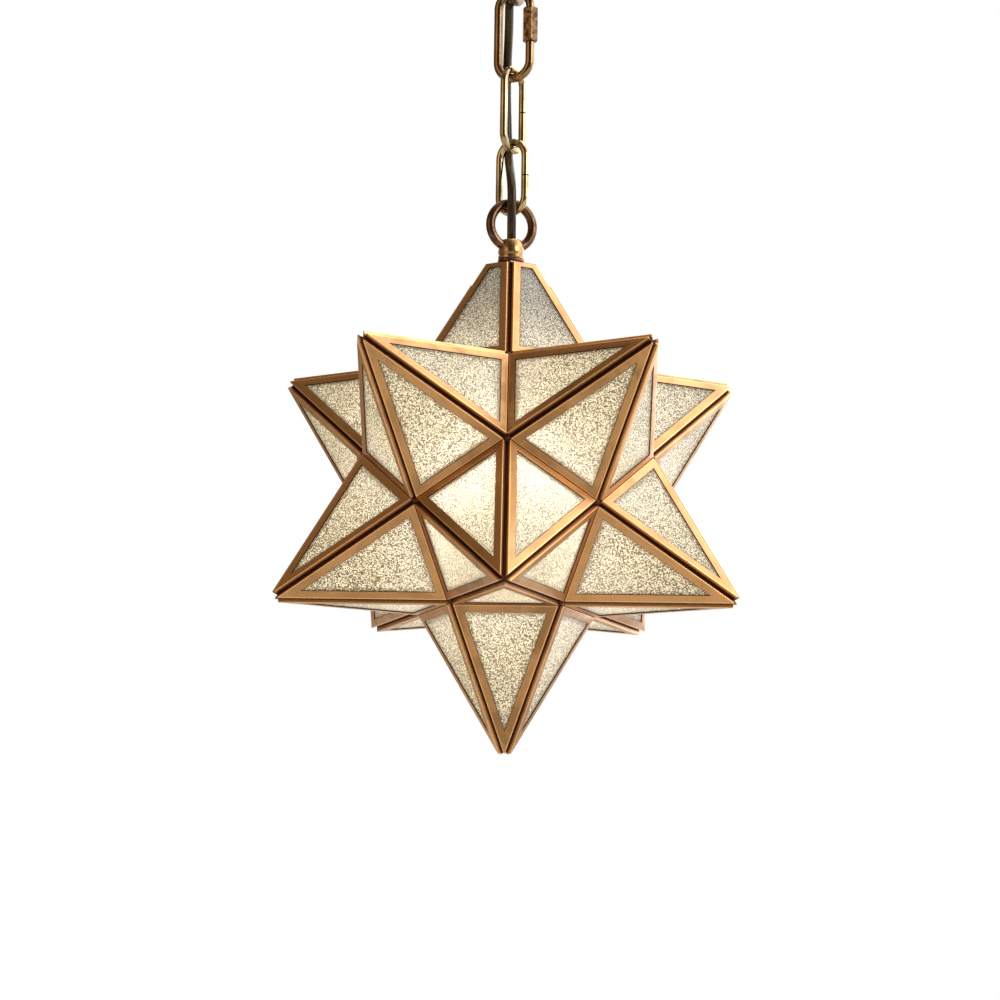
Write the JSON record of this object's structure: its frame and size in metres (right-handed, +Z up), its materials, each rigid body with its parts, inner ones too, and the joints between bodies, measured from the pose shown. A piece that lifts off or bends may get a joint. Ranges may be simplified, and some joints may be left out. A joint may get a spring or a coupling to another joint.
{
  "type": "pendant light",
  "caption": "Twelve-pointed glass and metal star pendant with a lampholder and bulb inside, hung from a ring, chain links, a screw-lock link and a ceiling canopy.",
  "frame": {"origin": "in the ceiling plane, midway between the two ceiling screws, above the star's axis", "axes": "+Z up; the star's front, as in the picture, faces -Y; +X is to the right seen from the front"},
  "size_m": [0.352, 0.3684, 0.6668],
  "materials": {
    "antique_copper": "antique copper, brushed and lacquered",
    "hammered_glass": "pale straw glass with a fine hammered face",
    "cast_copper": "dark antique copper casting",
    "polished_brass": "polished",
    "link_brass": "polished pale brass",
    "quick_brass": "polished brown brass",
    "lamp_brass": "satin",
    "plated_steel": "zinc plated",
    "earth_green": "green",
    "porcelain": "glazed",
    "bulb_glass": "clear",
    "filament": "tungsten",
    "cord_jacket": "olive brown, partly clear"
  },
  "bodies": {
    "ceiling_fitting": {"ceiling_bracket": "plated_steel", "bracket_nipple": "plated_steel", "bracket_nuts": "plated_steel", "earth_screw": "earth_green", "terminal_block": "porcelain", "canopy": "antique_copper", "canopy_loop": "cast_copper", "cord_in_canopy": "cord_jacket"},
    "quick_link_body": {"quick_link": "quick_brass", "cord_quick_stretch": "cord_jacket"},
    "sleeve_body": {"quick_link_sleeve": "quick_brass"},
    "upper_link_body": {"upper_link": "link_brass", "cord_upper_stretch": "cord_jacket"},
    "lower_link_body": {"lower_link": "link_brass", "cord_lower_stretch": "cord_jacket"},
    "bulb_body": {"bulb_cap": "lamp_brass", "bulb_glass": "bulb_glass", "bulb_stem": "bulb_glass", "bulb_filament": "filament"},
    "star_body": {"cord_in_star": "cord_jacket", "cord_ring_stretch": "cord_jacket", "holder_cap": "lamp_brass", "holder_core": "porcelain", "holder_shell": "lamp_brass", "neck_bead": "cast_copper", "neck_cap": "polished_brass", "neck_disc": "cast_copper", "plate_nut": "plated_steel", "plate_washer": "plated_steel", "point_frames_bottom": "antique_copper", "point_frames_lower_back_left": "antique_copper", "point_frames_lower_back_right": "antique_copper", "point_frames_lower_front": "antique_copper", "point_frames_lower_side_left": "antique_copper", "point_frames_lower_side_right": "antique_copper", "point_frames_top": "antique_copper", "point_frames_upper_back": "antique_copper", "point_frames_upper_front_left": "antique_copper", "point_frames_upper_front_right": "antique_copper", "point_frames_upper_side_left": "antique_copper", "point_frames_upper_side_right": "antique_copper", "point_glass_bottom": "hammered_glass", "point_glass_lower_back_left": "hammered_glass", "point_glass_lower_back_right": "hammered_glass", "point_glass_lower_front": "hammered_glass", "point_glass_lower_side_left": "hammered_glass", "point_glass_lower_side_right": "hammered_glass", "point_glass_top": "hammered_glass", "point_glass_upper_back": "hammered_glass", "point_glass_upper_front_left": "hammered_glass", "point_glass_upper_front_right": "hammered_glass", "point_glass_upper_side_left": "hammered_glass", "point_glass_upper_side_right": "hammered_glass", "screw_shell": "lamp_brass", "star_loop": "cast_copper", "star_nipple": "plated_steel", "top_plate": "antique_copper"}
  },
  "joints": [
    {"name": "quick_link_swing", "type": "hinge", "parent": "ceiling_fitting", "child": "quick_link_body", "pos_m": [0, 0, -0.07285], "axis": [0.3746, 0.9272, 0], "range_deg": [-30, 30], "deforming": ["cord_quick_stretch"]},
    {"name": "upper_link_swing", "type": "hinge", "parent": "quick_link_body", "child": "upper_link_body", "pos_m": [0, 0, -0.1355], "axis": [0.9272, -0.3746, 0], "range_deg": [-30, 30], "deforming": ["cord_upper_stretch"]},
    {"name": "lower_link_swing", "type": "hinge", "parent": "upper_link_body", "child": "lower_link_body", "pos_m": [0, 0, -0.1937], "axis": [0.5736, 0.8192, 0], "range_deg": [-30, 30], "deforming": ["cord_lower_stretch"]},
    {"name": "star_swing", "type": "hinge", "parent": "lower_link_body", "child": "star_body", "pos_m": [0, 0, -0.2436], "axis": [0.7986, -0.6018, 0], "range_deg": [-30, 30], "deforming": ["cord_ring_stretch"]},
    {"name": "sleeve_slide", "type": "slide", "parent": "quick_link_body", "child": "sleeve_body", "axis": [0, 0, -1], "range_m": [0, 0.014]},
    {"name": "bulb_turn", "type": "hinge", "parent": "star_body", "child": "bulb_body", "pos_m": [0, 0, -0.4229], "axis": [0, 0, -1], "range_deg": [0, 720]}
  ]
}
